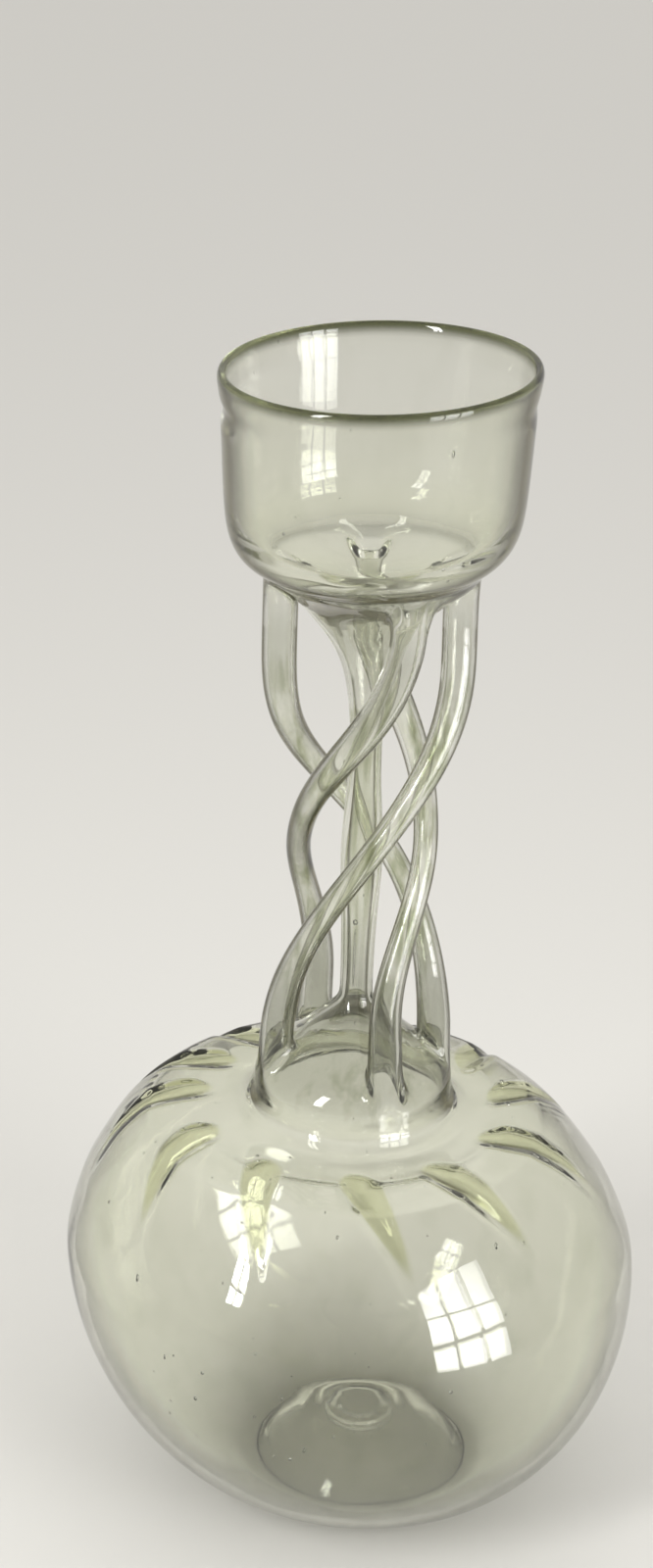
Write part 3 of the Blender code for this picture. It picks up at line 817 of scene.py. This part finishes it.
def winding(tube, height):
    """The angle of an outer tube at a height, in radians."""
    share = (tube["start_share"] - neck_share(height)) / (tube["start_share"] - tube["end_share"])
    return math.radians(blend(tube["top"], tube["bottom"], ease(share)))


def tube_center(tube, height):
    """The middle of an outer tube at a height."""
    ring = waist(height, LOWER_RING, WAIST_RING, UPPER_RING)
    angle = winding(tube, height)
    return Vector((NECK_SHIFT + ring * math.cos(angle), ring * math.sin(angle), height))


def tube_ring(tube, height, radius, count):
    """Points round an outer tube, the first on its outward side, for a cage that is smoothed."""
    slope_share = 0.002
    near = NECK_LENGTH * slope_share
    along = (tube_center(tube, height + near) - tube_center(tube, height - near)).normalized()
    angle = winding(tube, height)
    outward = Vector((math.cos(angle), math.sin(angle), 0.0))
    outward = (outward - along * outward.dot(along)).normalized()
    sideways = along.cross(outward).normalized()
    center = tube_center(tube, height)
    reach = radius / smoothed_share(count)
    ring = []
    for index in range(count):
        turn = 2 * math.pi * index / count
        ring.append(center + outward * reach * math.cos(turn) + sideways * reach * math.sin(turn))
    return ring


# Each ring of the skin: radius and height, and how far its columns gather round the tubes' feet.
# The outer side runs up from the globe's joint to the rim, and the inner side runs down again.
OUTER_ROOT = ((ROOT_RADIUS, NECK_JOINT, 0.0), (0.0245, 0.1074, 0.2), (0.0242, 0.1098, 0.6),
              (0.0241, 0.1123, 0.9),
              (0.0240, 0.1146, 1.0), (0.0206, 0.1183, 1.0), (0.0156, 0.1222, 1.0),
              (0.0133, 0.1244, 0.9), (0.0105, 0.1272, 0.6), (0.0073, 0.1302, 0.25),
              (0.0049, 0.1325, 0.0), (0.0041, 0.1346, 0.0), (0.0040, 0.1365, 0.0))
OUTER_CENTER = ((0.0040, 0.1420, 0.0), (0.0041, 0.1480, 0.0), (0.0043, 0.1545, 0.0),
                (0.0047, 0.1610, 0.0), (0.0050, 0.1675, 0.0), (0.0051, 0.1740, 0.0),
                (0.0047, 0.1810, 0.0), (0.0043, 0.1870, 0.0), (0.0039, 0.1930, 0.0),
                (0.0038, 0.2000, 0.0), (0.0040, 0.2060, 0.0))
OUTER_CUP = ((0.0043, 0.2100, 0.0), (0.0050, 0.2150, 0.0), (0.0062, 0.2205, 0.2),
             (0.0086, 0.2262, 0.5), (0.0118, 0.2310, 0.8), (0.0148, 0.2346, 0.95),
             (0.0170, 0.2375, 1.0), (0.0216, 0.2416, 1.0), (0.0254, 0.2440, 1.0),
             (0.0256, 0.2460, 0.5), (0.0286, 0.2476, 0.0), (0.0320, 0.2504, 0.0),
             (0.0343, 0.2554, 0.0), (0.0351, 0.2630, 0.0), (0.0356, 0.2720, 0.0),
             (0.0361, 0.2820, 0.0), (0.0366, 0.2880, 0.0), (0.0371, 0.2912, 0.0),
             (0.0372, 0.2928, 0.0), (0.0365, 0.2940, 0.0))
INNER_CUP = ((0.0354, 0.2938, 0.0), (0.0347, 0.2924, 0.0), (0.0345, 0.2885, 0.0),
             (0.0341, 0.2820, 0.0), (0.0336, 0.2720, 0.0), (0.0330, 0.2632, 0.0),
             (0.0319, 0.2572, 0.0), (0.0294, 0.2532, 0.0), (0.0265, 0.2508, 0.0),
             (0.0246, 0.2488, 0.5), (0.0243, 0.2462, 1.0), (0.0216, 0.2442, 1.0),
             (0.0182, 0.2420, 1.0), (0.0146, 0.2390, 0.95), (0.0114, 0.2348, 0.8),
             (0.0082, 0.2296, 0.5), (0.0054, 0.2236, 0.2), (0.0037, 0.2172, 0.0),
             (0.0029, 0.2100, 0.0))
INNER_CENTER = ((0.0026, 0.2060, 0.0), (0.0024, 0.2000, 0.0), (0.0025, 0.1930, 0.0),
                (0.0028, 0.1870, 0.0), (0.0032, 0.1810, 0.0), (0.0035, 0.1740, 0.0),
                (0.0034, 0.1675, 0.0), (0.0032, 0.1610, 0.0), (0.0028, 0.1545, 0.0),
                (0.0026, 0.1480, 0.0), (0.0025, 0.1420, 0.0))
INNER_ROOT = ((0.0026, 0.1365, 0.0), (0.0028, 0.1330, 0.0), (0.0046, 0.1304, 0.0),
              (0.0074, 0.1278, 0.25), (0.0104, 0.1250, 0.6), (0.0130, 0.1222, 0.9),
              (0.0160, 0.1196, 1.0), (0.0200, 0.1166, 1.0), (0.0227, 0.1134, 1.0),
              (0.0226, 0.1110, 0.8), (0.0222, 0.1090, 0.4), (0.0222, 0.1074, 0.2),
              (ROOT_RADIUS - ROOT_WALL, NECK_JOINT, 0.0))
NECK_RINGS = OUTER_ROOT + OUTER_CENTER + OUTER_CUP + INNER_CUP + INNER_CENTER + INNER_ROOT
# the outermost ring of the tubes' feet in each part of the skin, counted along all its rings
OUTER_ROOT_FOOT = 4
OUTER_CUP_FOOT = len(OUTER_ROOT + OUTER_CENTER) + 8
INNER_CUP_FOOT = len(OUTER_ROOT + OUTER_CENTER + OUTER_CUP) + 10
INNER_ROOT_FOOT = len(NECK_RINGS) - 5
OUTER_FOOT_ANGLE = math.radians(13)
INNER_FOOT_ANGLE = math.radians(9)
# the heights of the tubes' rings in their feet, before and after the even ones between the joints
OUTER_LOW_RINGS = [0.1236, 0.1262]
OUTER_HIGH_RINGS = [0.2340, 0.2365]
BORE_LOW_RINGS = [0.1220, 0.1255]
BORE_HIGH_RINGS = [0.2350, 0.2385]
# from this height up the cup leans in full
CUP_LEAN_TOP = 0.2500


def columns_at(end, half_angle):
    """The angle of every column where they gather round the tubes' feet, and the tubes' names."""
    feet = sorted((math.radians(tube[end]) % (2 * math.pi), name) for name, tube in TUBES.items())
    angles = []
    for index, (here, name) in enumerate(feet):
        following = feet[(index + 1) % len(feet)][0]
        if following < here:
            following += 2 * math.pi
        angles += [here + half_angle * spread for spread in COLUMN_SPREAD]
        angles.append((here + following) / 2)
    return angles, [name for angle, name in feet]


def even_columns(angles):
    """Angles at even steps that lie as near as they can to the gathered ones."""
    step = 2 * math.pi / len(angles)
    start = sum(angle - index * step for index, angle in enumerate(angles)) / len(angles)
    return [start + index * step for index in range(len(angles))]


def open_foot(bm, grid, hub_ring, foot, away):
    """Take out the four faces round a foot's hub and hand back the loop of eight points round it."""
    hub_column = foot * (len(COLUMN_SPREAD) + 1) + 2
    left, right = hub_column - 1, hub_column + 1
    outer_ring, inner_ring = hub_ring - away, hub_ring + away
    order = ((outer_ring, hub_column), (outer_ring, right), (hub_ring, right), (inner_ring, right),
             (inner_ring, hub_column), (inner_ring, left), (hub_ring, left), (outer_ring, left))
    loop = [grid[spot] for spot in order]
    hub = grid[hub_ring, hub_column]
    bmesh.ops.delete(bm, geom=list(hub.link_faces), context="FACES")
    if hub.is_valid:
        bmesh.ops.delete(bm, geom=[hub], context="VERTS")
    return loop


def draw_tube(bm, name, low_loop, high_loop, heights, radii):
    """Draw a foot's loop out along its tube and weld it to the foot at the other end."""
    part = NECK_PARTS.index(name)
    loop = low_loop
    spots = [tube_ring(TUBES[name], height, radius, len(loop)) for height, radius in zip(heights, radii)]
    spots.append([vertex.co.copy() for vertex in high_loop])
    for height, ring in zip(heights + [CUP_FEET], spots):
        sides = [bm.edges.get(pair) for pair in zip(loop, loop[1:] + loop[:1])]
        grown = bmesh.ops.extrude_edge_only(bm, edges=sides)["geom"]
        fresh = {item for item in grown if isinstance(item, bmesh.types.BMVert)}
        for face in (item for item in grown if isinstance(item, bmesh.types.BMFace)):
            if height <= ROOT_TUBE_JOINT:
                face.material_index = NECK_PARTS.index("neck_root")
            elif height <= CUP_TUBE_JOINT:
                face.material_index = part
            else:
                face.material_index = NECK_PARTS.index("cup")
        links = [next(e.other_vert(v) for e in v.link_edges if e.other_vert(v) in fresh) for v in loop]
        for vertex, spot in zip(links, ring):
            vertex.co = spot
        loop = links


def neck_skin():
    """The whole cage of the neck, its faces marked with the part that they belong to."""
    bm = bmesh.new()
    rings = [(radius / smoothed_share(NECK_COLUMNS), height) for radius, height, gather in NECK_RINGS]
    spin_outline(bm, rings, NECK_COLUMNS)
    step = 2 * math.pi / NECK_COLUMNS
    grid = {}
    for vertex in bm.verts:
        radius = math.hypot(vertex.co.x, vertex.co.y)
        place = min(range(len(rings)), key=lambda i: math.dist(rings[i], (radius, vertex.co.z)))
        grid[place, round(math.atan2(vertex.co.y, vertex.co.x) / step) % NECK_COLUMNS] = vertex
    half_turn = len(OUTER_ROOT + OUTER_CENTER + OUTER_CUP)
    marks = []
    for rows, part in ((OUTER_ROOT, "neck_root"), (OUTER_CENTER, "center_tube"),
                       (OUTER_CUP + INNER_CUP, "cup"), (INNER_CENTER, "center_tube"),
                       (INNER_ROOT, "neck_root")):
        marks += [part] * len(rows)
    for (place, column), vertex in grid.items():
        beyond = grid.get((place + 1, column))
        if beyond is None:
            continue
        part = "center_tube" if "center_tube" in marks[place:place + 2] else marks[place]
        for face in set(vertex.link_faces) & set(beyond.link_faces):
            face.material_index = NECK_PARTS.index(part)
    for (place, column), vertex in grid.items():
        radius, height = rings[place]
        half_angle = OUTER_FOOT_ANGLE if place < half_turn else INNER_FOOT_ANGLE
        low = columns_at("bottom", half_angle)[0]
        high = columns_at("top", half_angle)[0]
        up = ease(neck_share(height))
        near = low[column] if up < 0.5 else high[column]
        even = blend(even_columns(low)[column], even_columns(high)[column], up)
        angle = blend(even, near, NECK_RINGS[place][2])
        lean = ease((height - CUP_FEET) / (CUP_LEAN_TOP - CUP_FEET))
        x = NECK_SHIFT + radius * math.cos(angle)
        tilt = (x - NECK_SHIFT) * math.tan(CUP_TILT) * lean
        vertex.co = (x, radius * math.sin(angle), height + tilt)
    heights = []
    for index in range(TUBE_STEPS):
        share = index / (TUBE_STEPS - 1)
        heights.append(blend(ROOT_TUBE_JOINT, CUP_TUBE_JOINT, share))
    low_names = columns_at("bottom", OUTER_FOOT_ANGLE)[1]
    high_names = columns_at("top", OUTER_FOOT_ANGLE)[1]
    for name in TUBES:
        low_foot, high_foot = low_names.index(name), high_names.index(name)
        outer_heights = OUTER_LOW_RINGS + heights + OUTER_HIGH_RINGS
        outer_radii = [tube_radius(height) for height in outer_heights]
        low_loop = open_foot(bm, grid, OUTER_ROOT_FOOT + 1, low_foot, 1)
        high_loop = open_foot(bm, grid, OUTER_CUP_FOOT - 1, high_foot, -1)
        draw_tube(bm, name, low_loop, high_loop, outer_heights, outer_radii)
        bore_heights = BORE_LOW_RINGS + heights + BORE_HIGH_RINGS
        bores = [tube_radius(height) - tube_wall(height) for height in bore_heights]
        low_loop = open_foot(bm, grid, INNER_ROOT_FOOT - 1, low_foot, -1)
        high_loop = open_foot(bm, grid, INNER_CUP_FOOT + 1, high_foot, 1)
        draw_tube(bm, name, low_loop, high_loop, bore_heights, bores)
    bmesh.ops.remove_doubles(bm, verts=bm.verts[:], dist=WELD)
    face_outwards(bm)
    return bm


# the lip was folded over under the rim, and drew the wall in at both sides
FOLD_LEVEL = 0.2850
FOLD_HEIGHT = 0.0021
FOLD_DEPTH = 0.0009
FOLD_SPREAD = math.radians(38)
FOLD_FROM_RADIUS = 0.0353


def reach_of(place):
    """How far a place is from the neck's axis."""
    return math.hypot(place.x - NECK_SHIFT, place.y)


def cup_level(place):
    """The height of a place as if the cup stood level."""
    return place.z - (place.x - NECK_SHIFT) * math.tan(CUP_TILT)


def hump(distance, width):
    """A smooth hump that is 1 at no distance and falls to a third at its width."""
    return math.exp(-(distance / width) ** 2)


def rim_fold(place):
    """How far the wall is drawn in by the fold under the rim, half as far at the right."""
    level = cup_level(place)
    if reach_of(place) < FOLD_FROM_RADIUS or level < CUP_FEET:
        return 0.0
    angle = abs(math.atan2(place.y, place.x))
    sides = max(hump(math.pi - angle, FOLD_SPREAD), hump(angle, FOLD_SPREAD) / 2)
    return FOLD_DEPTH * sides * hump(level - FOLD_LEVEL, FOLD_HEIGHT)


neck_mesh = smoothed_mesh("neck", neck_skin())
for vertex in neck_mesh.vertices:
    fold = rim_fold(vertex.co)
    kept = 1.0 - fold / reach_of(vertex.co) if fold else 1.0
    vertex.co = (NECK_SHIFT + (vertex.co.x - NECK_SHIFT) * kept, vertex.co.y * kept, vertex.co.z)
neck_normals = whole_normals(neck_mesh)

# where the cords fade out, where the painted dark edges stay light, and where the glass is gathered and
# painted darker as shade
JOINT_FADE = 0.010
MOUTH_LOW = 0.2180
MOUTH_HIGH = 0.2540
MOUTH_TILT = 0.15
ROOT_TOP = 0.1180
INNER_LIGHTNESS = 0.75
CORNER_RADIUS = 0.0258
CORNER_WIDTH = 0.0011
CORNER_LOW = 0.2430
CORNER_HIGH = 0.2490
CORNER_SHARE = 0.6
RIM_SHADE_FROM = 0.2900
RIM_SHADE_FULL = 0.2932
LOW_FEET_SHARE = 0.30
LOW_FEET_RISE = 0.012
LOW_FEET_TOP = 0.165
LOW_FEET_FALL = 0.035
HIGH_FEET_SHARE = 0.13
HIGH_FEET_BASE = 0.200
HIGH_FEET_RISE = 0.020
HIGH_FEET_TOP = 0.241
HIGH_FEET_FALL = 0.012


def near_joint(vertex):
    """How near a place is to a joint between two kinds of the glass."""
    joints = (NECK_JOINT, ROOT_TUBE_JOINT, CUP_TUBE_JOINT)
    return max(hump(vertex.co.z - joint, JOINT_FADE) for joint in joints)


def edge_lightness(vertex):
    """How far a place is kept from the painted dark edge: inner walls in part, the cup's mouths in full.
    """
    place = vertex.co
    way = Vector((place.x - NECK_SHIFT, place.y, 0.0))
    if ROOT_TOP < place.z < MOUTH_HIGH:
        aside = [place - tube_center(tube, place.z) for tube in TUBES.values()]
        way = min(aside, key=lambda gap: gap.length)
    in_mouth = vertex.normal.z > MOUTH_TILT and place.z > MOUTH_LOW
    if way.dot(vertex.normal) > 0 and not in_mouth:
        return 0.0
    fade = ease((place.z - MOUTH_LOW) / JOINT_FADE) if place.z < MOUTH_HIGH else 0.0
    return max(INNER_LIGHTNESS, fade)


def neck_thickness_and_shade(vertex):
    """How much the glass is darkened at a place, for gathered glass and as painted shade: in the rim,
    the cup's corner and the tubes' feet.
    """
    place = vertex.co
    height = place.z
    under = vertex.normal.z < 0.0 and CORNER_LOW < height < CORNER_HIGH
    corner = hump(reach_of(place) - CORNER_RADIUS, CORNER_WIDTH) if under else 0.0
    rim = ease((cup_level(place) - RIM_SHADE_FROM) / (RIM_SHADE_FULL - RIM_SHADE_FROM))
    low = ease((height - NECK_JOINT) / LOW_FEET_RISE) * ease((LOW_FEET_TOP - height) / LOW_FEET_FALL)
    high = ease((height - HIGH_FEET_BASE) / HIGH_FEET_RISE)
    high *= ease((HIGH_FEET_TOP - height) / HIGH_FEET_FALL)
    return max(rim, CORNER_SHARE * corner, LOW_FEET_SHARE * low, HIGH_FEET_SHARE * high)


def mark_neck(name, value_of):
    """Store a value for each place on the neck's skin, for the glass to read."""
    values = [value_of(vertex) for vertex in neck_mesh.vertices]
    neck_mesh.attributes.new(name, "FLOAT", "POINT").data.foreach_set("value", values)


# the thick mark darkens the rim, the cup's corner and the tubes' feet: partly thicker glass, partly
# painted shade
mark_neck("thick", neck_thickness_and_shade)
mark_neck("plain", near_joint)
mark_neck("light_edge", edge_lightness)


def take_part(name, material, seeds, wall, strings=()):
    """Cut one part out of the neck's skin, close its joints and make it a piece of its own."""
    mark = NECK_PARTS.index(name)
    bm = bmesh.new()
    bm.from_mesh(neck_mesh)
    source = bm.verts.layers.int.new("source")
    for index, vertex in enumerate(bm.verts):
        vertex[source] = index
    others = [face for face in bm.faces if face.material_index != mark]
    bmesh.ops.delete(bm, geom=others, context="FACES")
    for face in bm.faces:
        face.material_index = 0
        face.smooth = True
    hide_joints(bm)
    bm.verts.ensure_lookup_table()
    normals = [neck_normals[vertex[source]] for vertex in bm.verts]
    bm.verts.layers.int.remove(source)
    mesh = bpy.data.meshes.new(name)
    bm.to_mesh(mesh)
    bm.free()
    finish_part(name, mesh, normals, material, seeds, wall, strings)


# in the front wall of the centre tube one seed trails a thin drawn-out string
STRING_X = NECK_SHIFT - 0.0008
STRING_Y = -0.0033
CENTER_STRINGS = (((STRING_X, STRING_Y, 0.1552), 0.0006, 0.0008),
                  ((STRING_X, STRING_Y, 0.1455), 0.0003, 0.0080))
ROOT_SEED_WALL = 0.0018
CENTER_SEED_WALL = 0.0013
TUBE_SEED_WALL = 0.0012
CUP_SEED_WALL = 0.0020

tube_glass = glass("tube_glass", tint=1.6, edge_start=0.30, edge_end=0.62, ripple_scale=60.0,
                   ripple_depth=0.0008, stretch=0.12, cord_share=1.0)
root_glass = glass("root_glass", tint=1.8, edge_start=0.30, edge_end=0.66, ripple_scale=60.0,
                   ripple_depth=0.0006, stretch=0.30, cord_share=0.7)
cup_glass = glass("clear_cup_glass", tint=1.3, edge_start=0.34, edge_end=0.72, ripple_scale=40.0,
                  ripple_depth=0.0004, stretch=0.45, cord_share=0.05)
take_part("neck_root", root_glass, seeds=16, wall=ROOT_SEED_WALL)
take_part("center_tube", tube_glass, seeds=8, wall=CENTER_SEED_WALL, strings=CENTER_STRINGS)
for tube_name in TUBES:
    take_part(tube_name, tube_glass, seeds=8, wall=TUBE_SEED_WALL)
take_part("cup", cup_glass, seeds=45, wall=CUP_SEED_WALL)
